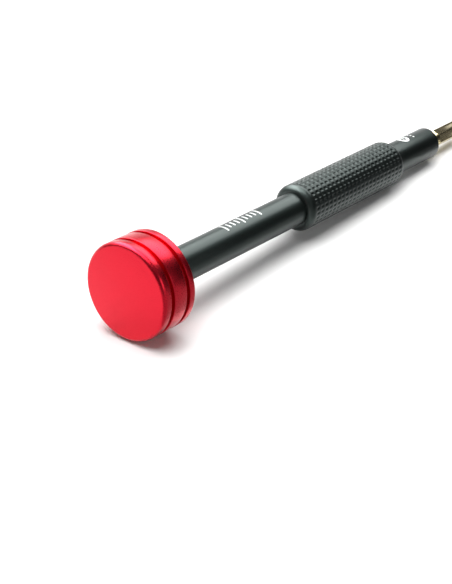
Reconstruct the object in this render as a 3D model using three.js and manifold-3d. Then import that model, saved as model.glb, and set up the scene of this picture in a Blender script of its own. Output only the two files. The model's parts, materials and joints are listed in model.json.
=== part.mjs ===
// A precision screwdriver for watch and phone repair: a free-spinning cap on a small ball
// bearing, a turned barrel with a grip sleeve, and a pull-out hexagonal bit held by a magnet.
// Millimetres, +Z up. The tool lies as it rests: on the rim of its cap and the end of its grip.
// Every piece is drawn along +X, and a station is the distance from the flat face of the cap.
import * as THREE from "three";
import { mergeVertices } from "three/addons/utils/BufferGeometryUtils.js";
import Module from "manifold-3d";

const wasm = await Module();
wasm.setup();

// ---- Driving dimensions ----

// Cap: two ribs and a rear ring, with a groove between each two.
const CAP_RADIUS = 11;
const CAP_LENGTH = 9.75;
const CAP_EDGE_ROUND = 0.5;
const CAP_RIM_CHAMFER = 0.15;
const CAP_DISC = 1.6; // thickness of the wall behind the flat face
const GROOVE_DEPTH = 0.9;
const FRONT_GROOVE_START = 2.2;
const FRONT_GROOVE_END = 3.3;
const REAR_GROOVE_START = 7.1;
const REAR_GROOVE_END = 8.15;
const RING_SPIGOT_LENGTH = 1.5;
const RING_SPIGOT_RADIUS = 9;

// Ball bearing: 6 x 15 x 5 mm.
const BEARING_START = 3.6;
const BEARING_WIDTH = 5;
const BEARING_BORE = 3;
const BEARING_RADIUS = 7.5;
const INNER_LAND = 4.15; // outer radius of the inner race
const OUTER_LAND = 6.35; // inner radius of the outer race
const BALL_COUNT = 7;
const BALL_RADIUS = 1.19;
const BALL_PITCH_RADIUS = (BEARING_BORE + BEARING_RADIUS) / 2;
const TRACK_RADIUS = 1.29;
const CAGE_HALF_WIDTH = 1.6;
const CAGE_THICKNESS = 0.9;
const SHIELD_THICKNESS = 0.25;
const SHIELD_RADIUS = 6.65;
const SHIELD_BORE = 4.3;

// Screw and washer that hold the inner race on the barrel.
const SCREW_RADIUS = 1.5;
const SCREW_HEAD_RADIUS = 2.75;
const SCREW_HEAD_HEIGHT = 1.15;
const SCREW_REACH = 8; // how far the screw goes into the barrel
const SCREW_HOLE_DEPTH = 9;
const WASHER_RADIUS = 4;
const WASHER_BORE = 1.6;
const WASHER_THICKNESS = 0.4;

// Barrel: shaft, seat of the grip sleeve and neck, in one turned bar.
const SHAFT_RADIUS = 4;
const NECK_RADIUS = 4.1;
const GRIP_START = 59.3;
const GRIP_LENGTH = 40.7;
const NECK_LENGTH = 19.3;
const GRIP_RADIUS = 5.75;
const GRIP_ROUND = 1.55;
const EDGE = 0.25; // chamfer on the ends of the barrel
const MOUTH_RADIUS = 2.95;
const MOUTH_DEPTH = 3;

// Socket and magnet in the neck.
const SOCKET_LENGTH = 7.9;
const SOCKET_WIDTH = 4.1; // across the flats
const MAGNET_RADIUS = 2;
const MAGNET_LENGTH = 3;

// Bit: stations from the end of the neck, towards the tip.
const BIT_WIDTH = 4; // across the flats
const BIT_CORNER_RADIUS = 2.25;
const BIT_REAR = -10.8;
const BIT_REAR_BEVEL = 0.4; // how far the rear end is narrowed
const WAIST_START = 1.9;
const WAIST_END = 3.9;
const WAIST_RADIUS = 1.55;
const WAIST_SLOPE = 0.6;
const HEX_END = 14.3;
const CONE_END = 16.8;
const STEM_RADIUS = 1.13;
const STEM_END = 33.5;
const STEP_END = 34.4;
const BLADE_RADIUS = 0.78;
const POINT_START = 38.1;
const POINT_RADIUS = 0.22;
const BIT_TIP = 39.7;
const FLUTE_LENGTH = 3.4;
const FLUTE_ROOT = 0.2;
const FLUTE_BAR = 2; // side of the square bar that a flute is cut with

// Gaps that keep neighbouring pieces apart.
const FIT = 0.03; // between pieces fixed to each other
const RUNNING = 0.3; // between the spinning cap and the barrel

// Number of flat sides that stand for a round.
const CAP_SIDES = 60;
const GRIP_SIDES = 30;
const BAR_SIDES = 36;
const FINE_SIDES = 24;
const CAGE_SIDES = 6 * BALL_COUNT;
const BALL_SIDES = 14;
const BALL_RINGS = 8;

// How far a cutter runs past what it cuts.
const OVERRUN = 1;

// Corners nearer than this are one corner.
const MERGE_DISTANCE = 1e-4;

// ---- Places worked out from the dimensions ----

const BEARING_END = BEARING_START + BEARING_WIDTH;
const BEARING_MIDDLE = BEARING_START + BEARING_WIDTH / 2;
const GRIP_END = GRIP_START + GRIP_LENGTH;
const NECK_END = GRIP_END + NECK_LENGTH;
const SOCKET_END = NECK_END - MOUTH_DEPTH;
const SOCKET_START = SOCKET_END - SOCKET_LENGTH;
const MAGNET_END = SOCKET_START - FIT;
const MAGNET_START = MAGNET_END - MAGNET_LENGTH;
// The line that touches the rim of the cap and the end of the grip is the floor.
const REST_TILT = Math.atan(
  (CAP_RADIUS - GRIP_RADIUS) / (GRIP_END - GRIP_ROUND - CAP_LENGTH + CAP_RIM_CHAMFER),
);
// One flat of the bit faces half way between up and the -Y side.
const HEX_TURN = Math.PI / 4;

// ---- Materials ----

const finish = (color, metalness, roughness) =>
  new THREE.MeshStandardMaterial({ color, metalness, roughness });
const RED_ANODISED = finish(0xd91e28, 0.85, 0.35);
const GREY_ANODISED = finish(0x474d4c, 0.85, 0.45);
const BEARING_STEEL = finish(0xb9bcbf, 1, 0.2);
const PRESSED_STEEL = finish(0x9a9da0, 1, 0.35);
const BLACK_STEEL = finish(0x2c2d2f, 1, 0.45);
const NICKEL = finish(0xa9a9a6, 1, 0.25);
const GILT_STEEL = finish(0xb9a878, 1, 0.18);

// ---- Shapes ----

const point = (station, radius) => new THREE.Vector2(radius, station);

// Points of a quarter round from one direction to another, about a centre.
function round(station, radius, size, from, to, steps = 4) {
  return Array.from({ length: steps + 1 }, (_, i) => {
    const a = THREE.MathUtils.degToRad(from + ((to - from) * i) / steps);
    return point(station + size * Math.cos(a), radius + size * Math.sin(a));
  });
}

// Turns a profile about the X axis. The flats of the polygon touch the true circle from outside.
function turned(profile, sides) {
  const swell = 1 / Math.cos(Math.PI / sides);
  const outline = profile.map((p) => new THREE.Vector2(p.x * swell, p.y));
  return new THREE.LatheGeometry(outline, sides, Math.PI / sides).rotateZ(-Math.PI / 2);
}

// A ring with a plain bore: its outer profile, closed through the bore.
function ring(start, end, bore, radius, sides) {
  return turned(
    [
      point(start, bore),
      point(start, radius),
      point(end, radius),
      point(end, bore),
      point(start, bore),
    ],
    sides,
  );
}

function hexagonalBar(start, end, width) {
  const radius = width / Math.sqrt(3);
  return new THREE.CylinderGeometry(radius, radius, end - start, 6, 1, false, Math.PI / 6)
    .rotateZ(-Math.PI / 2)
    .translate((start + end) / 2, 0, 0)
    .rotateX(HEX_TURN);
}

function solid(geometry) {
  const plain = new THREE.BufferGeometry();
  const loose = geometry.index ? geometry.toNonIndexed() : geometry;
  plain.setAttribute("position", loose.attributes.position);
  const merged = mergeVertices(plain, MERGE_DISTANCE);
  return new wasm.Manifold(
    new wasm.Mesh({
      numProp: 3,
      vertProperties: merged.attributes.position.array,
      triVerts: new Uint32Array(merged.index.array),
    }),
  );
}

function geometryOf(manifold) {
  const mesh = manifold.getMesh();
  const geometry = new THREE.BufferGeometry();
  geometry.setAttribute("position", new THREE.BufferAttribute(mesh.vertProperties, 3));
  geometry.setIndex(new THREE.BufferAttribute(mesh.triVerts, 1));
  return geometry;
}

// ---- Pieces ----

function capShell() {
  const inside = CAP_RADIUS - GROOVE_DEPTH;
  return turned(
    [
      point(0, 0),
      ...round(CAP_EDGE_ROUND, CAP_RADIUS - CAP_EDGE_ROUND, CAP_EDGE_ROUND, 180, 90),
      point(FRONT_GROOVE_START, CAP_RADIUS),
      point(FRONT_GROOVE_START, inside),
      point(FRONT_GROOVE_END, inside),
      point(FRONT_GROOVE_END, CAP_RADIUS),
      point(REAR_GROOVE_START, CAP_RADIUS),
      point(REAR_GROOVE_START, RING_SPIGOT_RADIUS + FIT),
      point(REAR_GROOVE_START - RING_SPIGOT_LENGTH, RING_SPIGOT_RADIUS + FIT),
      point(REAR_GROOVE_START - RING_SPIGOT_LENGTH, BEARING_RADIUS + FIT),
      point(BEARING_START - FIT, BEARING_RADIUS + FIT),
      point(BEARING_START - FIT, OUTER_LAND),
      point(CAP_DISC, OUTER_LAND),
      point(CAP_DISC, 0),
    ],
    CAP_SIDES,
  );
}

function capRing() {
  const seat = BEARING_RADIUS + FIT;
  const front = REAR_GROOVE_START - RING_SPIGOT_LENGTH + FIT;
  return turned(
    [
      point(front, seat),
      point(front, RING_SPIGOT_RADIUS),
      point(REAR_GROOVE_START + FIT, RING_SPIGOT_RADIUS),
      point(REAR_GROOVE_START + FIT, CAP_RADIUS - GROOVE_DEPTH),
      point(REAR_GROOVE_END, CAP_RADIUS - GROOVE_DEPTH),
      point(REAR_GROOVE_END, CAP_RADIUS),
      point(CAP_LENGTH - CAP_RIM_CHAMFER, CAP_RADIUS),
      point(CAP_LENGTH, CAP_RADIUS - CAP_RIM_CHAMFER),
      point(CAP_LENGTH, SHAFT_RADIUS + RUNNING),
      point(BEARING_END + FIT, SHAFT_RADIUS + RUNNING),
      point(BEARING_END + FIT, seat),
      point(front, seat),
    ],
    CAP_SIDES,
  );
}

function outerRace() {
  const shelf = SHIELD_RADIUS + FIT;
  const depth = SHIELD_THICKNESS + 2 * FIT;
  const reach = Math.sqrt(TRACK_RADIUS ** 2 - (OUTER_LAND - BALL_PITCH_RADIUS) ** 2);
  const angle = THREE.MathUtils.radToDeg(Math.atan2(OUTER_LAND - BALL_PITCH_RADIUS, reach));
  return turned(
    [
      point(BEARING_START, BEARING_RADIUS),
      point(BEARING_END, BEARING_RADIUS),
      point(BEARING_END, shelf),
      point(BEARING_END - depth, shelf),
      point(BEARING_END - depth, OUTER_LAND),
      ...round(BEARING_MIDDLE, BALL_PITCH_RADIUS, TRACK_RADIUS, angle, 180 - angle),
      point(BEARING_START + depth, OUTER_LAND),
      point(BEARING_START + depth, shelf),
      point(BEARING_START, shelf),
      point(BEARING_START, BEARING_RADIUS),
    ],
    BAR_SIDES,
  );
}

function innerRace() {
  const reach = Math.sqrt(TRACK_RADIUS ** 2 - (BALL_PITCH_RADIUS - INNER_LAND) ** 2);
  const angle = THREE.MathUtils.radToDeg(Math.atan2(BALL_PITCH_RADIUS - INNER_LAND, reach));
  return turned(
    [
      point(BEARING_START, BEARING_BORE),
      point(BEARING_START, INNER_LAND),
      ...round(BEARING_MIDDLE, BALL_PITCH_RADIUS, TRACK_RADIUS, 180 + angle, 360 - angle),
      point(BEARING_END, INNER_LAND),
      point(BEARING_END, BEARING_BORE),
      point(BEARING_START, BEARING_BORE),
    ],
    BAR_SIDES,
  );
}

function ballPlace(i) {
  const angle = (2 * Math.PI * i) / BALL_COUNT;
  return new THREE.Vector3(
    BEARING_MIDDLE,
    BALL_PITCH_RADIUS * Math.sin(angle),
    BALL_PITCH_RADIUS * Math.cos(angle),
  );
}

function cage() {
  let body = solid(
    ring(
      BEARING_MIDDLE - CAGE_HALF_WIDTH,
      BEARING_MIDDLE + CAGE_HALF_WIDTH,
      BALL_PITCH_RADIUS - CAGE_THICKNESS / 2,
      BALL_PITCH_RADIUS + CAGE_THICKNESS / 2,
      CAGE_SIDES,
    ),
  );
  for (let i = 0; i < BALL_COUNT; i++) {
    const place = ballPlace(i);
    const pocket = new THREE.SphereGeometry(TRACK_RADIUS, BALL_SIDES, BALL_RINGS);
    body = body.subtract(solid(pocket.translate(place.x, place.y, place.z)));
  }
  return geometryOf(body);
}

function screw() {
  const seat = BEARING_START - WASHER_THICKNESS - 2 * FIT;
  return turned(
    [
      point(seat - SCREW_HEAD_HEIGHT, 0),
      point(seat - SCREW_HEAD_HEIGHT, SCREW_HEAD_RADIUS - EDGE),
      point(seat - SCREW_HEAD_HEIGHT + EDGE, SCREW_HEAD_RADIUS),
      point(seat, SCREW_HEAD_RADIUS),
      point(seat, SCREW_RADIUS - FIT),
      point(BEARING_START + SCREW_REACH, SCREW_RADIUS - FIT),
      point(BEARING_START + SCREW_REACH, 0),
    ],
    FINE_SIDES,
  );
}

function barrel() {
  const spigotStart = BEARING_START + 2 * FIT;
  const holeEnd = BEARING_START + SCREW_HOLE_DEPTH;
  return turned(
    [
      point(holeEnd, 0),
      point(holeEnd, SCREW_RADIUS),
      point(spigotStart, SCREW_RADIUS),
      point(spigotStart, BEARING_BORE - FIT),
      point(BEARING_END + FIT, BEARING_BORE - FIT),
      point(BEARING_END + FIT, SHAFT_RADIUS),
      point(GRIP_END + FIT, SHAFT_RADIUS),
      point(GRIP_END + FIT, NECK_RADIUS),
      point(NECK_END - EDGE, NECK_RADIUS),
      point(NECK_END, NECK_RADIUS - EDGE),
      point(NECK_END, MOUTH_RADIUS + EDGE),
      point(NECK_END - EDGE, MOUTH_RADIUS),
      point(SOCKET_START - FIT, MOUTH_RADIUS),
      point(SOCKET_START - FIT, MAGNET_RADIUS + FIT),
      point(MAGNET_START - FIT, MAGNET_RADIUS + FIT),
      point(MAGNET_START - FIT, 0),
    ],
    BAR_SIDES,
  );
}

function gripSleeve() {
  const bore = SHAFT_RADIUS + FIT;
  const flank = GRIP_RADIUS - GRIP_ROUND;
  return turned(
    [
      point(GRIP_START, bore),
      ...round(GRIP_START + GRIP_ROUND, flank, GRIP_ROUND, 180, 90),
      ...round(GRIP_END - GRIP_ROUND, flank, GRIP_ROUND, 90, 0),
      point(GRIP_END, bore),
      point(GRIP_START, bore),
    ],
    GRIP_SIDES,
  );
}

function socketInsert() {
  const sleeve = solid(
    turned(
      [
        point(SOCKET_START, 0),
        point(SOCKET_START, MOUTH_RADIUS - FIT),
        point(SOCKET_END, MOUTH_RADIUS - FIT),
        point(SOCKET_END, 0),
      ],
      BAR_SIDES,
    ),
  );
  const hole = hexagonalBar(SOCKET_START - OVERRUN, SOCKET_END + OVERRUN, SOCKET_WIDTH);
  return geometryOf(sleeve.subtract(solid(hole)));
}

function bit() {
  const at = (station, radius) => point(NECK_END + station, radius);
  const profile = [
    at(BIT_REAR, 0),
    at(BIT_REAR, BIT_CORNER_RADIUS - BIT_REAR_BEVEL),
    at(BIT_REAR + EDGE, BIT_CORNER_RADIUS),
    at(WAIST_START - EDGE, BIT_CORNER_RADIUS),
    at(WAIST_START + WAIST_SLOPE, WAIST_RADIUS),
    at(WAIST_END - WAIST_SLOPE, WAIST_RADIUS),
    at(WAIST_END + EDGE, BIT_CORNER_RADIUS),
    at(HEX_END, BIT_CORNER_RADIUS),
    at(CONE_END, STEM_RADIUS),
    at(STEM_END, STEM_RADIUS),
    at(STEP_END, BLADE_RADIUS),
    at(POINT_START, BLADE_RADIUS),
    at(BIT_TIP, POINT_RADIUS),
    at(BIT_TIP, 0),
  ];
  const bar = hexagonalBar(NECK_END + BIT_REAR - OVERRUN, NECK_END + BIT_TIP + OVERRUN, BIT_WIDTH);
  let body = solid(turned(profile, FINE_SIDES)).intersect(solid(bar));
  // Four flutes leave a cross: each is a square bar whose edge runs outwards from the point.
  const slope = Math.atan2(BLADE_RADIUS * Math.SQRT2 - FLUTE_ROOT, FLUTE_LENGTH);
  for (let i = 0; i < 4; i++) {
    const flute = new THREE.BoxGeometry(2 * (FLUTE_LENGTH + OVERRUN), FLUTE_BAR, FLUTE_BAR)
      .rotateX(Math.PI / 4)
      .translate(0, 0, FLUTE_BAR * Math.SQRT1_2)
      .rotateY(slope)
      .translate(NECK_END + BIT_TIP, 0, FLUTE_ROOT)
      .rotateX(HEX_TURN + (i * Math.PI) / 2);
    body = body.subtract(solid(flute));
  }
  return geometryOf(body);
}

// ---- Scene graph ----

const tool = new THREE.Group();
tool.rotation.y = REST_TILT;

function add(name, geometry, material) {
  const mesh = new THREE.Mesh(geometry, material);
  mesh.name = name;
  tool.add(mesh);
  return mesh;
}

add("cap_shell", capShell(), RED_ANODISED);
add("cap_rear_ring", capRing(), RED_ANODISED);
add("bearing_outer_race", outerRace(), BEARING_STEEL);
add("bearing_inner_race", innerRace(), BEARING_STEEL);
for (let i = 0; i < BALL_COUNT; i++) {
  const ball = new THREE.SphereGeometry(BALL_RADIUS, BALL_SIDES, BALL_RINGS);
  add(`bearing_ball_${i + 1}`, ball, BEARING_STEEL).position.copy(ballPlace(i));
}
add("bearing_cage", cage(), PRESSED_STEEL);
for (const [name, start] of [
  ["bearing_shield_front", BEARING_START + FIT],
  ["bearing_shield_rear", BEARING_END - FIT - SHIELD_THICKNESS],
]) {
  add(name, ring(start, start + SHIELD_THICKNESS, SHIELD_BORE, SHIELD_RADIUS, BAR_SIDES), PRESSED_STEEL);
}
const washerStart = BEARING_START - FIT - WASHER_THICKNESS;
add(
  "bearing_washer",
  ring(washerStart, washerStart + WASHER_THICKNESS, WASHER_BORE, WASHER_RADIUS, FINE_SIDES),
  PRESSED_STEEL,
);
add("bearing_screw", screw(), BLACK_STEEL);
add("barrel", barrel(), GREY_ANODISED);
add("grip_sleeve", gripSleeve(), GREY_ANODISED);
add("socket_insert", socketInsert(), BLACK_STEEL);
const magnet = new THREE.CylinderGeometry(MAGNET_RADIUS, MAGNET_RADIUS, MAGNET_LENGTH, FINE_SIDES);
add("magnet", magnet.rotateZ(-Math.PI / 2), NICKEL).position.x = (MAGNET_START + MAGNET_END) / 2;
add("bit", bit(), GILT_STEEL);

// The origin is under the middle of the tool, on the floor.
const box = new THREE.Box3().setFromObject(tool, true);
const centre = box.getCenter(new THREE.Vector3());
tool.position.set(-centre.x, 0, -box.min.z);

const screwdriver = new THREE.Group();
screwdriver.add(tool);

export default screwdriver;
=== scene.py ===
import json
import math

import bmesh
import bpy
from mathutils import Matrix, Vector


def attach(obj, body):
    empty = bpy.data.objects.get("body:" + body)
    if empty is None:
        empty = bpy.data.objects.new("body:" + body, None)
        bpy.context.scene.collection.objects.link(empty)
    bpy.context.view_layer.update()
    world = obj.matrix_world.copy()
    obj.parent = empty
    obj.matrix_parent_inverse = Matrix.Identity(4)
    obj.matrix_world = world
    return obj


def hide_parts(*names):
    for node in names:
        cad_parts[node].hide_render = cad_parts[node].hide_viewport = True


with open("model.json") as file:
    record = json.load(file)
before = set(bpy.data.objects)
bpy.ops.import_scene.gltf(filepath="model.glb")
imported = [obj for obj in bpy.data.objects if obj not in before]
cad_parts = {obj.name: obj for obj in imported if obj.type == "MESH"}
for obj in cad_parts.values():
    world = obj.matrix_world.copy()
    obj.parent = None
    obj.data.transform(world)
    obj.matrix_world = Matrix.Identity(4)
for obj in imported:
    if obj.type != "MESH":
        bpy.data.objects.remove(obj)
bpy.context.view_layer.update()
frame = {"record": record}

# ---- How the tool lies ----
# The screwdriver rests on the rim of its cap and on the end of its grip, so its axis dips towards the tip.
# Every piece is drawn along +X in millimetres, from the middle of the cap's face, and LAID puts it down.
# Round things are given by their radii, a bore too.
MM = 0.001
finger_face = frame["record"]["mounts"][0]
FACE_MIDDLE = Vector(finger_face["pos_m"])
ALONG = -Vector(finger_face["axis"])
DIP = math.atan2(-ALONG.z, ALONG.x)
LAID = Matrix.Translation(FACE_MIDDLE) @ Matrix.Rotation(DIP, 4, "Y") @ Matrix.Scale(MM, 4)

# ---- Camera ----
# A short telephoto lens looks down along the tool from beyond its cap, with the cap near and on the left.
# The tool runs away to the upper right, and its bit leaves the picture there.
HEADING = math.radians(38.37)
LOOK_DOWN = math.radians(29.42)
LENS = 90.9
CAP_RIGHT_OF_LENS = -21.04 * MM
CAP_BELOW_LENS_LINE = 0.25 * MM
CAP_AHEAD_OF_LENS = 305.55 * MM

ahead = Vector((
    math.cos(HEADING) * math.cos(LOOK_DOWN),
    math.sin(HEADING) * math.cos(LOOK_DOWN),
    -math.sin(LOOK_DOWN),
))
right = Vector((math.sin(HEADING), -math.cos(HEADING), 0))
below = ahead.cross(right)
camera = bpy.data.objects.new("camera", bpy.data.cameras.new("camera"))
camera.data.lens = LENS
camera.data.clip_start = 0.01
camera.location = (
    FACE_MIDDLE - right * CAP_RIGHT_OF_LENS - below * CAP_BELOW_LENS_LINE - ahead * CAP_AHEAD_OF_LENS
)
camera.rotation_mode = "QUATERNION"
camera.rotation_quaternion = ahead.to_track_quat("-Z", "Y")
bpy.context.scene.collection.objects.link(camera)
bpy.context.scene.camera = camera

# ---- Floor and backdrop ----
# A round sheet of matt white paper, with a white wall all round it that only the camera sees. The room is
# dim, so that the metal takes its light from the softboxes and the paper.
FLOOR_RADIUS = 0.5
WALL_RADIUS = 3.4
ROOM_LIGHT = 0.12
CLOUDS_PER_METRE = 9.0


def colour(hexadecimal):
    """An sRGB colour, written as six hexadecimal digits, as linear red, green, blue and alpha."""
    parts = [int(hexadecimal[i:i + 2], 16) / 255 for i in (0, 2, 4)]
    linear = [c / 12.92 if c <= 0.04045 else ((c + 0.055) / 1.055) ** 2.4 for c in parts]
    return (*linear, 1.0)


def node(tree, kind, inputs=None, **settings):
    """Adds a node with its settings, and gives its inputs, by name or number, a value or a link."""
    made = tree.nodes.new(kind)
    for name, value in settings.items():
        setattr(made, name, value)
    for name, value in (inputs or {}).items():
        if isinstance(value, bpy.types.NodeSocket):
            tree.links.new(value, made.inputs[name])
        else:
            made.inputs[name].default_value = value
    return made


def empty_material(name):
    material = bpy.data.materials.new(name)
    material.use_nodes = True
    material.node_tree.nodes.clear()
    return material


def white_paper():
    """Matt paper: it scatters all light, with a faint cloudiness from its fibres."""
    material = empty_material("matt white paper")
    tree = material.node_tree
    place = node(tree, "ShaderNodeTexCoord")
    fibres = node(tree, "ShaderNodeTexNoise", {
        "Vector": place.outputs["Object"], "Scale": CLOUDS_PER_METRE,
    })
    shade = node(tree, "ShaderNodeMix", {
        "Factor": fibres.outputs["Fac"], "A": colour("F4F4F4"), "B": colour("F7F7F6"),
    }, data_type="RGBA")
    surface = node(tree, "ShaderNodeBsdfDiffuse", {"Color": shade.outputs["Result"]})
    node(tree, "ShaderNodeOutputMaterial", {"Surface": surface.outputs["BSDF"]})
    return material


def plain_light(name, strength):
    """A surface that only gives out white light, such as a wall lit evenly from outside the set."""
    material = empty_material(name)
    tree = material.node_tree
    surface = node(tree, "ShaderNodeEmission", {"Color": colour("FFFFFF"), "Strength": strength})
    node(tree, "ShaderNodeOutputMaterial", {"Surface": surface.outputs["Emission"]})
    return material


def new_object(name, mesh):
    """Makes an object of a bmesh, which is used up."""
    data = bpy.data.meshes.new(name)
    mesh.to_mesh(data)
    mesh.free()
    made = bpy.data.objects.new(name, data)
    bpy.context.scene.collection.objects.link(made)
    return made


sheet = bmesh.new()
bmesh.ops.create_circle(sheet, cap_ends=True, segments=96, radius=FLOOR_RADIUS)
floor = new_object("floor", sheet)
floor.data.materials.append(white_paper())

shell = bmesh.new()
bmesh.ops.create_uvsphere(shell, u_segments=48, v_segments=24, radius=WALL_RADIUS)
bmesh.ops.reverse_faces(shell, faces=shell.faces)
backdrop = new_object("backdrop", shell)
backdrop.data.materials.append(plain_light("white wall", 1.0))
for kind in ("diffuse", "glossy", "transmission", "volume_scatter", "shadow"):
    setattr(backdrop, "visible_" + kind, False)

room = bpy.data.worlds.new("room")
room.use_nodes = True
air = room.node_tree.nodes["Background"]
air.inputs["Color"].default_value = colour("FFFFFF")
air.inputs["Strength"].default_value = ROOM_LIGHT
bpy.context.scene.world = room
bpy.context.scene.view_settings.view_transform = "Standard"

# ---- Lights ----
# A large softbox hangs over the tool, with a panel and a low white wall beyond it and a small panel on the
# near side. Another panel shows only in reflections and draws the bright lines along the metal. Three
# glowing
# cards are painted reflections: they light and shade nothing, and draw the dark lines along the metal,
# standing in for dark surroundings and for floor in shade. All places and sizes here are in metres.
CARD_END = 0.5
CARD_NEAR = -0.2
CARD_SPLIT = 0.038
CARD_LIFT = 0.0005


def softbox(name, middle, aim, width, height, brightness):
    """An even rectangle of light, as bright as a mirror would show it. The lit paper is at about 1.4."""
    lamp = bpy.data.lights.new(name, "AREA")
    lamp.shape = "RECTANGLE"
    lamp.size = width
    lamp.size_y = height
    lamp.energy = math.pi * width * height * brightness
    made = bpy.data.objects.new(name, lamp)
    made.location = middle
    made.rotation_euler = (Vector(aim) - Vector(middle)).to_track_quat("-Z", "Y").to_euler()
    made.visible_camera = False
    bpy.context.scene.collection.objects.link(made)
    return made


def far_off(heading, distance, height):
    """A place at this heading from the tool, in degrees from +X towards +Y."""
    turn = math.radians(heading)
    return (distance * math.cos(turn), distance * math.sin(turn), height)


softbox(
    "overhead softbox", middle=(-0.14, 0.13, 0.72), aim=(-0.02, 0, 0),
    width=0.75, height=0.75, brightness=4.6,
)
softbox(
    "back panel", middle=far_off(heading=9, distance=0.72, height=0.80), aim=(0, 0, 0),
    width=0.95, height=0.42, brightness=5.8,
)
left_panel = softbox(
    "left panel", middle=far_off(heading=104, distance=0.60, height=0.68), aim=(0, 0, 0),
    width=1.4, height=0.65, brightness=9.0,
)
left_panel.visible_diffuse = False
softbox(
    "white wall", middle=far_off(heading=60, distance=1.0, height=0.2), aim=(0, 0, 0.2),
    width=2.2, height=0.4, brightness=0.95,
)
softbox(
    "near panel", middle=far_off(heading=-88, distance=0.6, height=0.22), aim=(0, 0, 0),
    width=0.45, height=0.25, brightness=1.8,
)


def flag(name, corners, brightness):
    """A card that only reflections see, as bright as a mirror would show it: a painted reflection, which
    lights and shades nothing.
    """
    card = bmesh.new()
    card.faces.new([card.verts.new(corner) for corner in corners])
    made = new_object(name, card)
    # Its glowing surface is the painted reflection.
    made.data.materials.append(plain_light(name + " painted_reflection", brightness))
    for kind in ("camera", "diffuse", "transmission", "volume_scatter", "shadow"):
        setattr(made, "visible_" + kind, False)
    return made


# Painted dark reflection: a nearly black card standing beside the tool, seen only in the metal, where it
# draws a dark band along the near side.
flag("side painted dark reflection", [
    (-0.03, -0.05, 0.0),
    (CARD_END, -0.05, 0.0),
    (CARD_END, -0.05, 0.11),
    (-0.03, -0.05, 0.055),
], brightness=0.01)
# Painted shade in reflection: two cards lying on the paper beside the tool, seen only in the metal, show
# the floor there darker than the lit paper, as if in shade; the far one, along the shaft, is darker still.
flag("near floor painted shade", [
    (-0.2, CARD_NEAR, CARD_LIFT),
    (0.13, CARD_NEAR, CARD_LIFT),
    (CARD_SPLIT, -0.013, CARD_LIFT),
    (-0.2, -0.013, CARD_LIFT),
], brightness=0.55)
flag("far floor painted shade", [
    (0.13, CARD_NEAR, CARD_LIFT),
    (CARD_END, CARD_NEAR, CARD_LIFT),
    (CARD_END, -0.008, CARD_LIFT),
    (CARD_SPLIT, -0.008, CARD_LIFT),
], brightness=0.15)

# ---- Cap shell ----
# The cap is the finger rest. It is turned from aluminium bar with one deep groove near its face, then
# fine-blasted and anodised red. It is hollow behind its face, where the ball bearing is pressed in.
CAP_RADIUS = 11.0
GROOVE_FLOOR = 10.1
RIM_END = 2.2
BAND_START = 3.3
BAND_END = 7.1
RING_SPIGOT = 9.0
BEARING_START = 3.6
BEARING_RADIUS = 7.5
FIT = 0.03
FACE_ROUND = 0.9
BROKEN_EDGE = 0.12
CORNER = 0.1
SPIGOT_SEAT = 5.6
HOLLOW_START = 1.6
HOLLOW_RADIUS = 6.35
CAP_SIDES = 192
TINY = 1e-6
SHARP_ANGLE = 35
CLOUDS_PER_MM = 0.25
GRAINS_PER_MM = 5.0
TURNING_MARKS_PER_MM = 6.0
MARK_HEIGHT = 0.02 * MM


def outline(corners, steps=5):
    """The points of a profile from its corners, each (station, radius, fillet), with fillets as arcs."""
    points = []
    for i, (station, radius, fillet) in enumerate(corners):
        here = Vector((station, radius))
        if not fillet:
            points.append(here)
            continue
        back = (Vector(corners[i - 1][:2]) - here).normalized()
        on = (Vector(corners[(i + 1) % len(corners)][:2]) - here).normalized()
        half = back.angle(on) / 2
        centre = here + (back + on).normalized() * fillet / math.sin(half)
        first = here + back * fillet / math.tan(half) - centre
        last = here + on * fillet / math.tan(half) - centre
        sweep = math.pi - 2 * half
        for k in range(steps + 1):
            share = sweep * k / steps
            arc = first * math.sin(sweep - share) + last * math.sin(share)
            points.append(centre + arc / math.sin(sweep))
    return points


def turned(name, profile, sides):
    """A solid of revolution about the tool's axis. The profile ends on the axis or closes on itself."""
    mesh = bmesh.new()
    rings = []
    for station, radius in profile:
        count = sides if radius > TINY else 1
        turns = [2 * math.pi * k / sides for k in range(count)]
        rings.append([mesh.verts.new((station, radius * math.sin(a), radius * math.cos(a))) for a in turns])
    pairs = list(zip(rings, rings[1:]))
    if len(rings[0]) > 1:
        pairs.append((rings[-1], rings[0]))
    for one, other in pairs:
        for k in range(sides):
            n = (k + 1) % sides
            corners = [one[k % len(one)], other[k % len(other)], other[n % len(other)], one[n % len(one)]]
            corners = list(dict.fromkeys(corners))
            if len(corners) > 2:
                mesh.faces.new(corners)
    bmesh.ops.recalc_face_normals(mesh, faces=mesh.faces)
    return new_object(name, mesh)


def laid(piece, material, sharp=SHARP_ANGLE):
    """Puts a drawn piece in its place on the floor, and shades it smooth but for its real edges."""
    piece.data.transform(LAID)
    piece.data.materials.clear()
    piece.data.materials.append(material)
    piece.data.polygons.foreach_set("use_smooth", [True] * len(piece.data.polygons))
    piece.data.set_sharp_from_angle(angle=math.radians(sharp))
    return piece


def tool_place(tree):
    """Each point's place in the tool's own millimetres: station along X, the round in Y and Z."""
    place = node(tree, "ShaderNodeTexCoord")
    return node(tree, "ShaderNodeMapping", {
        "Vector": place.outputs["Object"], "Location": FACE_MIDDLE,
        "Rotation": (0, DIP, 0), "Scale": (MM, MM, MM),
    }, vector_type="TEXTURE").outputs["Vector"]


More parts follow.
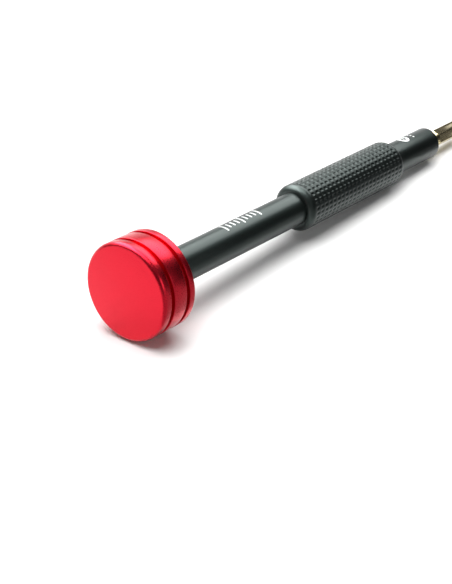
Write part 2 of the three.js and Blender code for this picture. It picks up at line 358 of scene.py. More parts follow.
def turning_marks(tree, place, per_mm):
    """Fine rings left by the lathe: they follow the station on a barrel and the radius on a face."""
    parts = node(tree, "ShaderNodeSeparateXYZ", {"Vector": place})
    flat = node(tree, "ShaderNodeCombineXYZ", {"Y": parts.outputs["Y"], "Z": parts.outputs["Z"]})
    radius = node(tree, "ShaderNodeVectorMath", {0: flat.outputs["Vector"]}, operation="LENGTH")
    total = node(tree, "ShaderNodeMath", {
        0: parts.outputs["X"], 1: radius.outputs["Value"],
    }, operation="ADD")
    return node(tree, "ShaderNodeTexNoise", {
        "W": total.outputs["Value"], "Scale": per_mm, "Detail": 2.0, "Roughness": 0.6,
    }, noise_dimensions="1D").outputs["Fac"]


def anodised_aluminium(name, dye, deep_dye, smooth, rough, coat, marks):
    """Dyed anodised aluminium, blasted first: metal glints in the dye's colour under a clear hard skin.

    The grain of the blasting is about 0.05 mm, which is drawn at 0.2 mm so that it shows.
    """
    material = empty_material(name)
    tree = material.node_tree
    place = tool_place(tree)
    cloud = node(tree, "ShaderNodeTexNoise", {"Vector": place, "Scale": CLOUDS_PER_MM, "Detail": 3.0})
    grain = node(tree, "ShaderNodeTexNoise", {"Vector": place, "Scale": GRAINS_PER_MM, "Detail": 2.0})
    rings = turning_marks(tree, place, TURNING_MARKS_PER_MM)
    dyed = node(tree, "ShaderNodeMix", {
        "Factor": cloud.outputs["Fac"], "A": colour(dye), "B": colour(deep_dye),
    }, data_type="RGBA")
    dull = node(tree, "ShaderNodeMapRange", {
        "Value": grain.outputs["Fac"], "From Min": 0.3, "From Max": 0.7, "To Min": smooth, "To Max": rough,
    })
    grit = node(tree, "ShaderNodeBump", {
        "Height": grain.outputs["Fac"], "Strength": 0.08, "Distance": MARK_HEIGHT,
    })
    lathe = node(tree, "ShaderNodeBump", {
        "Height": rings, "Strength": marks, "Distance": MARK_HEIGHT, "Normal": grit.outputs["Normal"],
    })
    surface = node(tree, "ShaderNodeBsdfPrincipled", {
        "Base Color": dyed.outputs["Result"], "Metallic": 1.0, "Roughness": dull.outputs["Result"],
        "Coat Weight": coat, "Coat Roughness": 0.28, "Normal": lathe.outputs["Normal"],
    })
    node(tree, "ShaderNodeOutputMaterial", {"Surface": surface.outputs["BSDF"]})
    return material


red = anodised_aluminium(
    "red anodised aluminium", dye="D00B28", deep_dye="C80A25", smooth=0.26, rough=0.32,
    coat=0.3, marks=0.1,
)
cap = laid(turned("cap", outline([
    (0, 0, 0),
    (0, CAP_RADIUS, FACE_ROUND),
    (RIM_END, CAP_RADIUS, BROKEN_EDGE),
    (RIM_END, GROOVE_FLOOR, CORNER),
    (BAND_START, GROOVE_FLOOR, CORNER),
    (BAND_START, CAP_RADIUS, BROKEN_EDGE),
    (BAND_END, CAP_RADIUS, BROKEN_EDGE),
    (BAND_END, RING_SPIGOT + FIT, 0),
    (SPIGOT_SEAT, RING_SPIGOT + FIT, 0),
    (SPIGOT_SEAT, BEARING_RADIUS + FIT, 0),
    (BEARING_START - FIT, BEARING_RADIUS + FIT, 0),
    (BEARING_START - FIT, HOLLOW_RADIUS, CORNER),
    (HOLLOW_START, HOLLOW_RADIUS, 3 * CORNER),
    (HOLLOW_START, 0, 0),
]), CAP_SIDES), red)
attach(cap, "cap")
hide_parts("cap_shell")

# ---- Cap rear ring ----
# A second turned ring closes the cap behind the bearing. Its spigot screws into the shell, and the shoulder
# left between the two makes the rear groove. It is anodised with the shell, so that they match.
RING_FRONT = SPIGOT_SEAT + FIT
BEARING_END = 8.6
CAP_LENGTH = 9.75
REAR_GROOVE_END = 8.15
RING_BORE = 4.3
REAR_EDGE = 0.16

rear_ring = laid(turned("cap_rear_ring_turned", outline([
    (RING_FRONT, BEARING_RADIUS + FIT, 0),
    (RING_FRONT, RING_SPIGOT, CORNER),
    (BAND_END + FIT, RING_SPIGOT, 0),
    (BAND_END + FIT, GROOVE_FLOOR, CORNER / 2),
    (REAR_GROOVE_END, GROOVE_FLOOR, CORNER),
    (REAR_GROOVE_END, CAP_RADIUS, BROKEN_EDGE),
    (CAP_LENGTH, CAP_RADIUS, REAR_EDGE),
    (CAP_LENGTH, RING_BORE, BROKEN_EDGE),
    (BEARING_END + FIT, RING_BORE, CORNER),
    (BEARING_END + FIT, BEARING_RADIUS + FIT, 0),
]), CAP_SIDES), red)
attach(rear_ring, "cap")
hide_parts("cap_rear_ring")

# ---- Bearing races and shields ----
# A shielded ball bearing of the common 6 by 15 by 5 mm size lets the cap spin under the finger. Its races
# are ground and polished hard steel, and the two shields are rings pressed from thin sheet.
BEARING_BORE = 3.0
INNER_LAND = 4.15
OUTER_LAND = 6.35
BALL_PITCH = 5.25
TRACK = 1.29
SHIELD = 0.25
SHIELD_RADIUS = 6.65
SHIELD_BORE = 4.3
BEARING_MIDDLE = (BEARING_START + BEARING_END) / 2
RACE_EDGE = 0.15
FINE_EDGE = 0.08
BAR_SIDES = 128
TRACK_STEPS = 12
STEEL_CLOUDS_PER_MM = 0.8
GRINDING_MARKS_PER_MM = 9.0


def polished_steel(name, light, dark, smooth, rough, marks):
    """Bare hard steel: a grey mirror with fine rings from grinding, which stretch its glints sideways."""
    material = empty_material(name)
    tree = material.node_tree
    place = tool_place(tree)
    cloud = node(tree, "ShaderNodeTexNoise", {"Vector": place, "Scale": STEEL_CLOUDS_PER_MM, "Detail": 3.0})
    rings = turning_marks(tree, place, GRINDING_MARKS_PER_MM)
    tone = node(tree, "ShaderNodeMix", {
        "Factor": cloud.outputs["Fac"], "A": colour(light), "B": colour(dark),
    }, data_type="RGBA")
    dull = node(tree, "ShaderNodeMapRange", {"Value": rings, "To Min": smooth, "To Max": rough})
    ground = node(tree, "ShaderNodeBump", {"Height": rings, "Strength": marks, "Distance": MARK_HEIGHT})
    surface = node(tree, "ShaderNodeBsdfPrincipled", {
        "Base Color": tone.outputs["Result"], "Metallic": 1.0, "Roughness": dull.outputs["Result"],
        "Normal": ground.outputs["Normal"],
    })
    node(tree, "ShaderNodeOutputMaterial", {"Surface": surface.outputs["BSDF"]})
    return material


def track(from_angle, to_angle):
    """The ball track in a race: corners along an arc about the balls' middle."""
    step = (to_angle - from_angle) / TRACK_STEPS
    turns = [math.radians(from_angle + step * k) for k in range(TRACK_STEPS + 1)]
    return [(BEARING_MIDDLE + TRACK * math.cos(a), BALL_PITCH + TRACK * math.sin(a), 0) for a in turns]


ground_steel = polished_steel(
    "ground bearing steel", light="C4C7CA", dark="B4B7BA", smooth=0.1, rough=0.2, marks=0.1,
)
pressed_steel = polished_steel(
    "pressed sheet steel", light="A2A5A8", dark="909396", smooth=0.25, rough=0.4, marks=0.15,
)
shelf = SHIELD + 2 * FIT
lip = math.degrees(math.asin((OUTER_LAND - BALL_PITCH) / TRACK))

outer_race = laid(turned("outer_race", outline([
    (BEARING_START, BEARING_RADIUS, RACE_EDGE),
    (BEARING_END, BEARING_RADIUS, RACE_EDGE),
    (BEARING_END, SHIELD_RADIUS + FIT, 0),
    (BEARING_END - shelf, SHIELD_RADIUS + FIT, 0),
    (BEARING_END - shelf, OUTER_LAND, 0),
    *track(lip, 180 - lip),
    (BEARING_START + shelf, OUTER_LAND, 0),
    (BEARING_START + shelf, SHIELD_RADIUS + FIT, 0),
    (BEARING_START, SHIELD_RADIUS + FIT, 0),
]), BAR_SIDES), ground_steel)
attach(outer_race, "cap")
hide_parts("bearing_outer_race")

inner_race = laid(turned("inner_race", outline([
    (BEARING_START, BEARING_BORE, BROKEN_EDGE),
    (BEARING_START, INNER_LAND, FINE_EDGE),
    *track(180 + lip, 360 - lip),
    (BEARING_END, INNER_LAND, FINE_EDGE),
    (BEARING_END, BEARING_BORE, BROKEN_EDGE),
]), BAR_SIDES), ground_steel)
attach(inner_race, "handle")
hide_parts("bearing_inner_race")

for side, start in (("front", BEARING_START + FIT), ("rear", BEARING_END - FIT - SHIELD)):
    shield = laid(turned(side + "_shield", outline([
        (start, SHIELD_BORE, CORNER),
        (start, SHIELD_RADIUS, FINE_EDGE),
        (start + SHIELD, SHIELD_RADIUS, FINE_EDGE),
        (start + SHIELD, SHIELD_BORE, CORNER),
    ]), BAR_SIDES), pressed_steel)
    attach(shield, "cap")
    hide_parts("bearing_shield_" + side)

# ---- Balls and cage ----
# Seven hard steel balls run between the races, held apart by a cage. The balls are lapped to a mirror, and
# the cage is a band of sheet with a round pocket for each ball, so it turns with them.
BALL_COUNT = 7
BALL_RADIUS = 1.19
CAGE_HALF_WIDTH = 1.6
CAGE_INSIDE = 4.8
CAGE_OUTSIDE = 5.7


def geometry_tree(name, inputs):
    """An empty Geometry Nodes tree with a geometry and the named inputs, each a kind and a value."""
    tree = bpy.data.node_groups.new(name, "GeometryNodeTree")
    tree.interface.new_socket("Geometry", in_out="INPUT", socket_type="NodeSocketGeometry")
    tree.interface.new_socket("Geometry", in_out="OUTPUT", socket_type="NodeSocketGeometry")
    for label, (kind, value) in inputs.items():
        socket = tree.interface.new_socket(label, in_out="INPUT", socket_type="NodeSocket" + kind)
        socket.default_value = value
    return tree


def grown(name, tree, values, start=None):
    """Runs a Geometry Nodes tree on an object with these inputs, and keeps the result as a plain mesh."""
    source = start or bpy.data.objects.new(name, bpy.data.meshes.new(name))
    if start is None:
        bpy.context.scene.collection.objects.link(source)
    modifier = source.modifiers.new(tree.name, "NODES")
    modifier.node_group = tree
    sockets = {item.name: item.identifier for item in tree.interface.items_tree if item.in_out == "INPUT"}
    for label, value in values.items():
        modifier[sockets[label]] = value
    return settled(source)


def settled(piece):
    """Turns a piece and its modifiers into a plain mesh."""
    evaluated = piece.evaluated_get(bpy.context.evaluated_depsgraph_get())
    mesh = bpy.data.meshes.new_from_object(evaluated)
    piece.modifiers.clear()
    piece.data = mesh
    return piece


def ball_ring_tree(material):
    """Spheres at even steps round the tool's axis."""
    tree = geometry_tree("ball ring", {
        "Count": ("Int", BALL_COUNT), "Pitch Radius": ("Float", BALL_PITCH),
        "Ball Radius": ("Float", BALL_RADIUS), "Station": ("Float", BEARING_MIDDLE),
        "Finish": ("Material", material),
    })
    given = node(tree, "NodeGroupInput").outputs
    ring = node(tree, "GeometryNodeMeshCircle", {
        "Vertices": given["Count"], "Radius": given["Pitch Radius"],
    })
    shift = node(tree, "ShaderNodeCombineXYZ", {"X": given["Station"]})
    stood = node(tree, "GeometryNodeTransform", {
        "Geometry": ring.outputs["Mesh"], "Translation": shift.outputs["Vector"],
        "Rotation": (0, -math.pi / 2, 0),
    })
    ball = node(tree, "GeometryNodeMeshIcoSphere", {"Radius": given["Ball Radius"], "Subdivisions": 5})
    copies = node(tree, "GeometryNodeInstanceOnPoints", {
        "Points": stood.outputs["Geometry"], "Instance": ball.outputs["Mesh"],
    })
    real = node(tree, "GeometryNodeRealizeInstances", {"Geometry": copies.outputs["Instances"]})
    done = node(tree, "GeometryNodeSetMaterial", {
        "Geometry": real.outputs["Geometry"], "Material": given["Finish"],
    })
    node(tree, "NodeGroupOutput", {"Geometry": done.outputs["Geometry"]})
    return tree


def combined(piece, other, operation):
    """Cuts a piece with another drawn piece, or keeps only what they share, and drops the other."""
    modifier = piece.modifiers.new(operation, "BOOLEAN")
    modifier.object = other
    modifier.operation = operation
    modifier.solver = "EXACT"
    settled(piece)
    bpy.data.objects.remove(other)
    return piece


ball_ring = ball_ring_tree(ground_steel)
layout = {"Count": BALL_COUNT, "Pitch Radius": BALL_PITCH, "Station": BEARING_MIDDLE}
balls = laid(grown("bearing_balls", ball_ring, {**layout, "Ball Radius": BALL_RADIUS}), ground_steel)
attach(balls, "ball_cage")
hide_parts(*["bearing_ball_%d" % (i + 1) for i in range(BALL_COUNT)])

band = turned("ball_cage_band", outline([
    (BEARING_MIDDLE - CAGE_HALF_WIDTH, CAGE_INSIDE, RACE_EDGE),
    (BEARING_MIDDLE - CAGE_HALF_WIDTH, CAGE_OUTSIDE, RACE_EDGE),
    (BEARING_MIDDLE + CAGE_HALF_WIDTH, CAGE_OUTSIDE, RACE_EDGE),
    (BEARING_MIDDLE + CAGE_HALF_WIDTH, CAGE_INSIDE, RACE_EDGE),
]), BAR_SIDES)
pockets = grown("ball_pockets", ball_ring, {**layout, "Ball Radius": TRACK})
cage = laid(combined(band, pockets, "DIFFERENCE"), pressed_steel)
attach(cage, "ball_cage")
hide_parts("bearing_cage")

# ---- Bearing screw and washer ----
# A short screw with a hexagonal recess clamps the inner race to the front end of the barrel, over a washer.
# The screw is blackened steel, and the washer is stamped from sheet.
SCREW_RADIUS = 1.47
SCREW_END = 11.6
HEAD_RADIUS = 2.75
HEAD_HEIGHT = 1.15
WASHER = 0.4
WASHER_START = BEARING_START - FIT - WASHER
HEAD_SEAT = WASHER_START - FIT
RECESS_WIDTH = 2.5
RECESS_DEPTH = 0.7
SCREW_EDGE = 0.25
SCREW_POINT = 0.2
WASHER_BORE = 1.6
WASHER_RADIUS = 4.0
OVERRUN = 1.0
FINE_SIDES = 96
HEX_TURN = math.radians(45)


def hexagonal_bar(name, start, end, width, edge=0.0):
    """A bar with six flats, one of them half way between up and the -Y side. An edge bevels its corners."""
    mesh = bmesh.new()
    made = bmesh.ops.create_circle(mesh, cap_ends=True, segments=6, radius=width / math.sqrt(3))
    bmesh.ops.rotate(mesh, verts=made["verts"], matrix=Matrix.Rotation(math.radians(30), 3, "Z"))
    pushed = bmesh.ops.extrude_face_region(mesh, geom=mesh.faces[:])
    top = [part for part in pushed["geom"] if isinstance(part, bmesh.types.BMVert)]
    bmesh.ops.translate(mesh, verts=top, vec=(0, 0, end - start))
    long_edges = [e for e in mesh.edges if abs(e.verts[0].co.z - e.verts[1].co.z) > TINY]
    if edge:
        bmesh.ops.bevel(mesh, geom=long_edges, offset=edge, segments=3, profile=0.5, affect="EDGES")
    stand = Matrix.Rotation(HEX_TURN, 4, "X") @ Matrix.Translation((start, 0, 0))
    mesh.transform(stand @ Matrix.Rotation(math.pi / 2, 4, "Y"))
    bmesh.ops.recalc_face_normals(mesh, faces=mesh.faces)
    return new_object(name, mesh)


black_steel = polished_steel(
    "blackened steel", light="303235", dark="26282A", smooth=0.35, rough=0.5, marks=0.2,
)
head_start = HEAD_SEAT - HEAD_HEIGHT
screw = turned("bearing_screw_turned", outline([
    (head_start, 0, 0),
    (head_start, HEAD_RADIUS, SCREW_EDGE),
    (HEAD_SEAT, HEAD_RADIUS, FINE_EDGE),
    (HEAD_SEAT, SCREW_RADIUS, 0),
    (SCREW_END, SCREW_RADIUS, SCREW_POINT),
    (SCREW_END, 0, 0),
]), FINE_SIDES)
recess = hexagonal_bar("screw_recess", head_start - OVERRUN, head_start + RECESS_DEPTH, RECESS_WIDTH)
laid(combined(screw, recess, "DIFFERENCE"), black_steel)
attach(screw, "handle")
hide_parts("bearing_screw")

washer = laid(turned("screw_washer", outline([
    (WASHER_START, WASHER_BORE, CORNER / 2),
    (WASHER_START, WASHER_RADIUS, FINE_EDGE),
    (WASHER_START + WASHER, WASHER_RADIUS, FINE_EDGE),
    (WASHER_START + WASHER, WASHER_BORE, CORNER / 2),
]), FINE_SIDES), pressed_steel)
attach(washer, "handle")
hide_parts("bearing_washer")

# ---- Barrel ----
# One bar of aluminium, turned to a slim shaft and a slightly thicker neck, drilled at both ends, then
# fine-blasted and anodised a dark grey that leans to green. The grip sleeve is pressed on between them.
SHAFT_RADIUS = 4.0
NECK_RADIUS = 4.1
GRIP_START = 59.3
GRIP_END = 100.0
NECK_END = 119.3
CHAMFER = 0.25
CHAMFER_SOFTNESS = 0.06
SCREW_HOLE = 1.5
SCREW_HOLE_END = 12.6
MOUTH_RADIUS = 2.95
SOCKET_END = 116.3
SOCKET_START = 108.4
MAGNET_START = 105.37
MAGNET_RADIUS = 2.0

grey = anodised_aluminium(
    "grey anodised aluminium", dye="363E3C", deep_dye="303836", smooth=0.37, rough=0.43,
    coat=0.35, marks=0.15,
)
barrel = laid(turned("turned_barrel", outline([
    (SCREW_HOLE_END, 0, 0),
    (SCREW_HOLE_END, SCREW_HOLE, 0),
    (BEARING_START + 2 * FIT, SCREW_HOLE, FINE_EDGE),
    (BEARING_START + 2 * FIT, BEARING_BORE - FIT, RACE_EDGE),
    (BEARING_END + FIT, BEARING_BORE - FIT, 0),
    (BEARING_END + FIT, SHAFT_RADIUS, RACE_EDGE),
    (GRIP_END + FIT, SHAFT_RADIUS, CORNER / 2),
    (GRIP_END + FIT, NECK_RADIUS, CHAMFER_SOFTNESS),
    (NECK_END - CHAMFER, NECK_RADIUS, FINE_EDGE),
    (NECK_END, NECK_RADIUS - CHAMFER, FINE_EDGE),
    (NECK_END, MOUTH_RADIUS + CHAMFER, CHAMFER_SOFTNESS),
    (NECK_END - CHAMFER, MOUTH_RADIUS, CHAMFER_SOFTNESS),
    (SOCKET_START - FIT, MOUTH_RADIUS, 0),
    (SOCKET_START - FIT, MAGNET_RADIUS + FIT, 0),
    (MAGNET_START - FIT, MAGNET_RADIUS + FIT, 0),
    (MAGNET_START - FIT, 0, 0),
]), BAR_SIDES), grey)
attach(barrel, "handle")
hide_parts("barrel")

# ---- Printed marks ----
# White ink is pad-printed on the barrel: a plain row of graduation bars on the shaft, and on the neck a
# disc with an open cross, the usual sign for a cross-head bit, with size dots beside it.
INK = 0.015
INK_SINK = 0.01
WRAP_STEP = 0.25
PINHOLES_PER_MM = 4.0
BAR_COUNT = 9
BARS_START = 33
BAR_STEP = 1.5
BAR_WIDTH = 0.5
LONG_BAR = 3.0
SHORT_BAR = 1.9
SIGN_PLACE = 108
SIGN_RADIUS = 1.6
SIGN_TURN = math.radians(5)
DOTS_PLACE = 111.5
DOT_STEP = 0.9
DOT_RADIUS = 0.28


def pad_ink():
    """Opaque white printing ink: a thin even film, a little duller than the metal, with tiny pinholes."""
    material = empty_material("white pad-printing ink")
    tree = material.node_tree
    place = tool_place(tree)
    pinholes = node(tree, "ShaderNodeTexNoise", {"Vector": place, "Scale": PINHOLES_PER_MM, "Detail": 2.0})
    tone = node(tree, "ShaderNodeMix", {
        "Factor": pinholes.outputs["Fac"], "A": colour("F6F8F7"), "B": colour("E4E8E6"),
    }, data_type="RGBA")
    surface = node(tree, "ShaderNodeBsdfPrincipled", {
        "Base Color": tone.outputs["Result"], "Roughness": 0.5, "IOR": 1.48,
    })
    node(tree, "ShaderNodeOutputMaterial", {"Surface": surface.outputs["BSDF"]})
    return material


def rounded_bar(station, length, width):
    """The outline of a bar with round ends, drawn flat: stations along X, and the way round along Y."""
    points = []
    for end in (1, -1):
        for k in range(9):
            a = math.radians(-90 + 180 * k / 8)
            x = width / 2 * math.sin(a) * end
            y = (length / 2 - width / 2 + width / 2 * math.cos(a)) * end
            points.append((station + x, y))
    return points


def disc(station, across, radius):
    """The outline of a disc."""
    turns = [2 * math.pi * k / 40 for k in range(40)]
    return [(station + radius * math.cos(a), across + radius * math.sin(a)) for a in turns]


def cross(station, reach, width):
    """The outline of a plus sign, from three corners of one arm turned a quarter at a time."""
    half = width / 2
    points = []
    for quarter in range(4):
        for x, y in ((half, half), (reach, half), (reach, -half)):
            for _ in range(quarter):
                x, y = y, -x
            points.append((station + x, y))
    return points


def printed(name, outlines, radius, top_turn, material):
    """Ink shapes as thin closed bodies wrapped on a round bar. An outline inside another is left open."""
    curve = bpy.data.curves.new(name, "CURVE")
    curve.dimensions = "2D"
    curve.fill_mode = "BOTH"
    curve.extrude = (INK + INK_SINK) / 2
    for points in outlines:
        spline = curve.splines.new("POLY")
        spline.points.add(len(points) - 1)
        for point, (x, y) in zip(spline.points, points):
            point.co = (x, y, 0, 1)
        spline.use_cyclic_u = True
    drawn = bpy.data.objects.new(name + "_drawn", curve)
    bpy.context.scene.collection.objects.link(drawn)
    mesh = bmesh.new()
    flat = bpy.data.meshes.new_from_object(drawn.evaluated_get(bpy.context.evaluated_depsgraph_get()))
    mesh.from_mesh(flat)
    bpy.data.objects.remove(drawn)
    bmesh.ops.remove_doubles(mesh, verts=mesh.verts, dist=1e-4)
    reach = max(abs(v.co.y) for v in mesh.verts)
    steps = math.ceil(reach / WRAP_STEP)
    for k in range(-steps, steps + 1):
        parts = mesh.verts[:] + mesh.edges[:] + mesh.faces[:]
        bmesh.ops.bisect_plane(mesh, geom=parts, plane_co=(0, k * WRAP_STEP, 0), plane_no=(0, 1, 0))
    for v in mesh.verts:
        height = radius + v.co.z + (INK - INK_SINK) / 2
        angle = v.co.y / radius + top_turn
        v.co = (v.co.x, height * math.sin(angle), height * math.cos(angle))
    bmesh.ops.recalc_face_normals(mesh, faces=mesh.faces)
    return laid(new_object(name, mesh), material)


white_ink = pad_ink()
scale_bars = [
    rounded_bar(BARS_START + BAR_STEP * k, LONG_BAR if k % 4 == 0 else SHORT_BAR, BAR_WIDTH)
    for k in range(BAR_COUNT)
]
shaft_marks = printed("shaft_marks", scale_bars, SHAFT_RADIUS, 0.0, white_ink)
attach(shaft_marks, "handle")

size_dots = [disc(DOTS_PLACE, DOT_STEP * k, DOT_RADIUS) for k in (-1, 0, 1)]
neck_shapes = [disc(SIGN_PLACE, 0, SIGN_RADIUS), cross(SIGN_PLACE, reach=1.05, width=0.5), *size_dots]
neck_marks = printed("neck_marks", neck_shapes, NECK_RADIUS, SIGN_TURN, white_ink)
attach(neck_marks, "handle")

# ---- Grip sleeve ----
# A sleeve of the same grey anodised aluminium, pressed over the barrel. A waffle of small oblong pits is
# milled into it, 30 rows round and 22 along, so that the fingers hold it. Both shoulders are left smooth.
GRIP_RADIUS = 5.75
GRIP_ROUND = 1.55
ROWS = 30
PITS = 22
PIT_PITCH = 1.70
WAFFLE_START = GRIP_START + (GRIP_END - GRIP_START - PITS * PIT_PITCH) / 2
RIDGE = 0.54
WALL = 0.22
PIT_DEPTH = 0.14


def cell_lines(pitch):
    """Where a cell of the waffle needs lines of points: in its ridges, on its walls and in the pit."""
    half = [0, RIDGE / 2, RIDGE / 2 + WALL / 2, RIDGE / 2 + WALL]
    return half + [pitch / 2] + [pitch - x for x in reversed(half[1:])]


def sleeve_blank():
    """The sleeve before milling, with its points in lines where the pits' walls will be."""
    shoulder = outline([
        (GRIP_START, SHAFT_RADIUS + FIT, 0),
        (GRIP_START, GRIP_RADIUS, GRIP_ROUND),
        (WAFFLE_START, GRIP_RADIUS, 0),
    ], steps=10)[:-1]
    pits = [
        Vector((WAFFLE_START + k * PIT_PITCH + x, GRIP_RADIUS))
        for k in range(PITS) for x in cell_lines(PIT_PITCH)
    ]
    far = [Vector((GRIP_START + GRIP_END - p.x, p.y)) for p in reversed(shoulder)]
    last = Vector((WAFFLE_START + PITS * PIT_PITCH, GRIP_RADIUS))
    profile = shoulder + pits + [last] + far
    arc = 2 * math.pi * GRIP_RADIUS / ROWS
    turns = [(row + x / arc) * 2 * math.pi / ROWS for row in range(ROWS) for x in cell_lines(arc)]
    mesh = bmesh.new()
    rings = [
        [mesh.verts.new((p.x, p.y * math.sin(a), p.y * math.cos(a))) for a in turns]
        for p in profile
    ]
    for one, other in zip(rings, rings[1:] + rings[:1]):
        for k in range(len(turns)):
            n = (k + 1) % len(turns)
            mesh.faces.new((one[k], other[k], other[n], one[n]))
    bmesh.ops.recalc_face_normals(mesh, faces=mesh.faces)
    return new_object("waffled_grip_sleeve", mesh)


def waffle_tree(material):
    """Sinks a regular grid of pits into a sleeve, and leaves ridges with sloping walls between them."""
    tree = geometry_tree("waffle", {
        "Rows Round": ("Float", ROWS), "Pits Along": ("Float", PITS), "Pitch": ("Float", PIT_PITCH),
        "Start": ("Float", WAFFLE_START), "Radius": ("Float", GRIP_RADIUS), "Ridge": ("Float", RIDGE),
        "Wall": ("Float", WALL), "Depth": ("Float", PIT_DEPTH), "Finish": ("Material", material),
    })
    given = node(tree, "NodeGroupInput").outputs

    def maths(operation, a, b=0.0):
        return node(tree, "ShaderNodeMath", {0: a, 1: b}, operation=operation).outputs["Value"]

    point = node(tree, "GeometryNodeInputPosition").outputs["Position"]
    parts = node(tree, "ShaderNodeSeparateXYZ", {"Vector": point})
    x, y, z = (parts.outputs[axis] for axis in "XYZ")
    outward = node(tree, "ShaderNodeVectorMath", {
        0: node(tree, "ShaderNodeCombineXYZ", {"Y": y, "Z": z}).outputs["Vector"],
    }, operation="NORMALIZE").outputs["Vector"]
    radius = maths("SQRT", maths("ADD", maths("MULTIPLY", y, y), maths("MULTIPLY", z, z)))
    along = maths("DIVIDE", maths("SUBTRACT", x, given["Start"]), given["Pitch"])
    share = maths("DIVIDE", maths("ARCTAN2", y, z), 2 * math.pi)
    turns = maths("MULTIPLY", share, given["Rows Round"])
    arc = maths("DIVIDE", maths("MULTIPLY", given["Radius"], 2 * math.pi), given["Rows Round"])
    ridge_half = maths("DIVIDE", given["Ridge"], 2.0)
    sunk = given["Depth"]
    for cells, size in ((along, given["Pitch"]), (turns, arc)):
        from_ridge = maths("MULTIPLY", maths("PINGPONG", cells, 0.5), size)
        wall = node(tree, "ShaderNodeMapRange", {
            "Value": from_ridge, "From Min": ridge_half,
            "From Max": maths("ADD", ridge_half, given["Wall"]),
        }, interpolation_type="SMOOTHSTEP")
        sunk = maths("MULTIPLY", sunk, wall.outputs["Result"])
    past_start = maths("GREATER_THAN", along, 0.0)
    inside = maths("MULTIPLY", past_start, maths("LESS_THAN", along, given["Pits Along"]))
    skin = maths("GREATER_THAN", radius, maths("MULTIPLY", given["Radius"], 0.9))
    sunk = maths("MULTIPLY", sunk, maths("MULTIPLY", inside, skin))
    move = node(tree, "ShaderNodeVectorMath", {
        0: outward, "Scale": maths("MULTIPLY", sunk, -1.0),
    }, operation="SCALE")
    milled = node(tree, "GeometryNodeSetPosition", {
        "Geometry": given["Geometry"], "Offset": move.outputs["Vector"],
    })
    real = node(tree, "GeometryNodeRealizeInstances", {"Geometry": milled.outputs["Geometry"]})
    done = node(tree, "GeometryNodeSetMaterial", {
        "Geometry": real.outputs["Geometry"], "Material": given["Finish"],
    })
    node(tree, "NodeGroupOutput", {"Geometry": done.outputs["Geometry"]})
    return tree


grip = grown("waffled_grip_sleeve", waffle_tree(grey), {
    "Rows Round": float(ROWS), "Pits Along": float(PITS), "Pitch": PIT_PITCH, "Start": WAFFLE_START,
    "Radius": GRIP_RADIUS, "Ridge": RIDGE, "Wall": WALL, "Depth": PIT_DEPTH,
}, sleeve_blank())
laid(grip, grey, sharp=60)
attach(grip, "handle")
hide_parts("grip_sleeve")

# ---- Socket insert and magnet ----
# A blackened steel bush with a 4 mm hexagonal hole is pressed into the neck and takes the bit's shank. A
# nickel-plated disc magnet sits behind it and holds the bit in.
SOCKET_WIDTH = 4.1
MAGNET_END = SOCKET_START - FIT
MAGNET_EDGE = 0.2

socket = turned("hexagonal_socket", outline([
    (SOCKET_START, 0, 0),
    (SOCKET_START, MOUTH_RADIUS - FIT, CORNER),
    (SOCKET_END, MOUTH_RADIUS - FIT, BROKEN_EDGE),
    (SOCKET_END, 0, 0),
]), FINE_SIDES)
hole = hexagonal_bar("socket_hole", SOCKET_START - OVERRUN, SOCKET_END + OVERRUN, SOCKET_WIDTH)
laid(combined(socket, hole, "DIFFERENCE"), black_steel)
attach(socket, "handle")
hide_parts("socket_insert")

nickel = polished_steel(
    "nickel plate", light="B6B5AE", dark="A6A59E", smooth=0.15, rough=0.25, marks=0.05,
)
magnet = laid(turned("disc_magnet", outline([
    (MAGNET_START, 0, 0),
    (MAGNET_START, MAGNET_RADIUS, MAGNET_EDGE),
    (MAGNET_END, MAGNET_RADIUS, MAGNET_EDGE),
    (MAGNET_END, 0, 0),
]), FINE_SIDES), nickel)
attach(magnet, "handle")
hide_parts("magnet")

# ---- Bit ----
# The bit is one piece of hard steel: a 4 mm hexagonal shank with a turned waist, a cone, a slim round stem
# and a smaller end ground to a cross point. It is polished and has a pale gold coating.
BIT_WIDTH = 4.0
CORNER_RADIUS = 2.25
WAIST_RADIUS = 1.55
STEM_RADIUS = 1.13
POINT_BAR_RADIUS = 0.78
POINT_RADIUS = 0.22
BIT_REAR = NECK_END - 10.8
REAR_BEVEL = 0.25
REAR_BEVEL_RADIUS = 1.85
COLLAR_END = NECK_END + 1.65
WAIST_START = NECK_END + 2.5
WAIST_END = NECK_END + 3.3
SHANK_START = NECK_END + 4.15
SHANK_END = NECK_END + 14.3
STEM_START = NECK_END + 16.8
STEM_END = NECK_END + 33.5
POINT_BAR_START = NECK_END + 34.4
POINT_START = NECK_END + 38.1
BIT_TIP = NECK_END + 39.7
TURNED_ROUND = 0.3
STEP_ROUND = 0.2
DRAW_LINES_PER_MM = (0.1, 2.0, 2.0)
GILT_CLOUDS_PER_MM = 0.4
FLAT_EDGE = 0.1
FLUTE_LENGTH = 3.4
FLUTE_ROOT = 0.2
FLUTE_BAR = 2.0


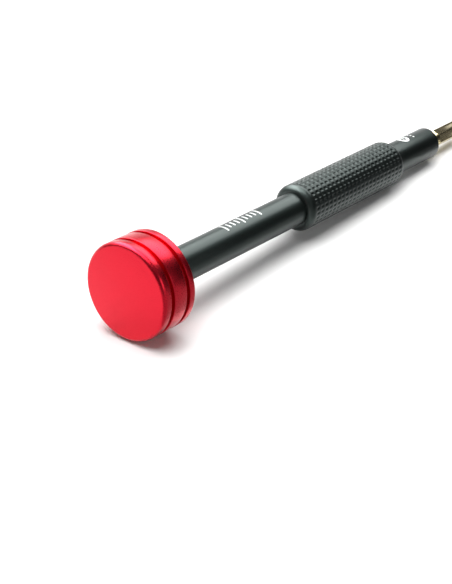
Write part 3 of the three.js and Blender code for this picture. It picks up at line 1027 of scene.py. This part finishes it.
def pale_gold_steel():
    """Polished steel under a thin pale gold film: a clear warm mirror, with fine draw lines along it."""
    material = empty_material("pale gold coated steel")
    tree = material.node_tree
    place = tool_place(tree)
    drawn_out = node(tree, "ShaderNodeMapping", {"Vector": place, "Scale": DRAW_LINES_PER_MM})
    lines = node(tree, "ShaderNodeTexNoise", {
        "Vector": drawn_out.outputs["Vector"], "Scale": 1.0, "Detail": 2.0,
    })
    cloud = node(tree, "ShaderNodeTexNoise", {"Vector": place, "Scale": GILT_CLOUDS_PER_MM, "Detail": 2.0})
    tone = node(tree, "ShaderNodeMix", {
        "Factor": cloud.outputs["Fac"], "A": colour("C4B792"), "B": colour("BAAC86"),
    }, data_type="RGBA")
    dull = node(tree, "ShaderNodeMapRange", {"Value": lines.outputs["Fac"], "To Min": 0.13, "To Max": 0.19})
    fine = node(tree, "ShaderNodeBump", {
        "Height": lines.outputs["Fac"], "Strength": 0.02, "Distance": MARK_HEIGHT,
    })
    surface = node(tree, "ShaderNodeBsdfPrincipled", {
        "Base Color": tone.outputs["Result"], "Metallic": 1.0, "Roughness": dull.outputs["Result"],
        "Normal": fine.outputs["Normal"],
    })
    node(tree, "ShaderNodeOutputMaterial", {"Surface": surface.outputs["BSDF"]})
    return material


def flute(number):
    """A square bar whose edge runs outwards from the point, to grind one quarter of the cross."""
    mesh = bmesh.new()
    bmesh.ops.create_cube(mesh, size=1.0)
    slope = math.atan2(POINT_BAR_RADIUS * math.sqrt(2) - FLUTE_ROOT, FLUTE_LENGTH)
    mesh.transform(
        Matrix.Rotation(HEX_TURN + number * math.pi / 2, 4, "X")
        @ Matrix.Translation((BIT_TIP, 0, FLUTE_ROOT))
        @ Matrix.Rotation(slope, 4, "Y")
        @ Matrix.Translation((0, 0, FLUTE_BAR * math.sqrt(0.5)))
        @ Matrix.Rotation(math.radians(45), 4, "X")
        @ Matrix.Diagonal((2 * FLUTE_LENGTH + 2, FLUTE_BAR, FLUTE_BAR, 1))
    )
    return new_object("flute", mesh)


bit = turned("cross_head_bit", outline([
    (BIT_REAR, 0, 0),
    (BIT_REAR, REAR_BEVEL_RADIUS, 0),
    (BIT_REAR + REAR_BEVEL, CORNER_RADIUS, 0),
    (COLLAR_END, CORNER_RADIUS, CORNER),
    (WAIST_START, WAIST_RADIUS, TURNED_ROUND),
    (WAIST_END, WAIST_RADIUS, TURNED_ROUND),
    (SHANK_START, CORNER_RADIUS, CORNER),
    (SHANK_END, CORNER_RADIUS, CORNER),
    (STEM_START, STEM_RADIUS, TURNED_ROUND),
    (STEM_END, STEM_RADIUS, BROKEN_EDGE),
    (POINT_BAR_START, POINT_BAR_RADIUS, STEP_ROUND),
    (POINT_START, POINT_BAR_RADIUS, TURNED_ROUND),
    (BIT_TIP, POINT_RADIUS, FINE_EDGE),
    (BIT_TIP, 0, 0),
]), FINE_SIDES)
flats = hexagonal_bar("shank_flats", BIT_REAR - OVERRUN, BIT_TIP + OVERRUN, BIT_WIDTH, edge=FLAT_EDGE)
combined(bit, flats, "INTERSECT")
for number in range(4):
    combined(bit, flute(number), "DIFFERENCE")
laid(bit, pale_gold_steel(), sharp=25)
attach(bit, "bit")
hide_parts("bit")
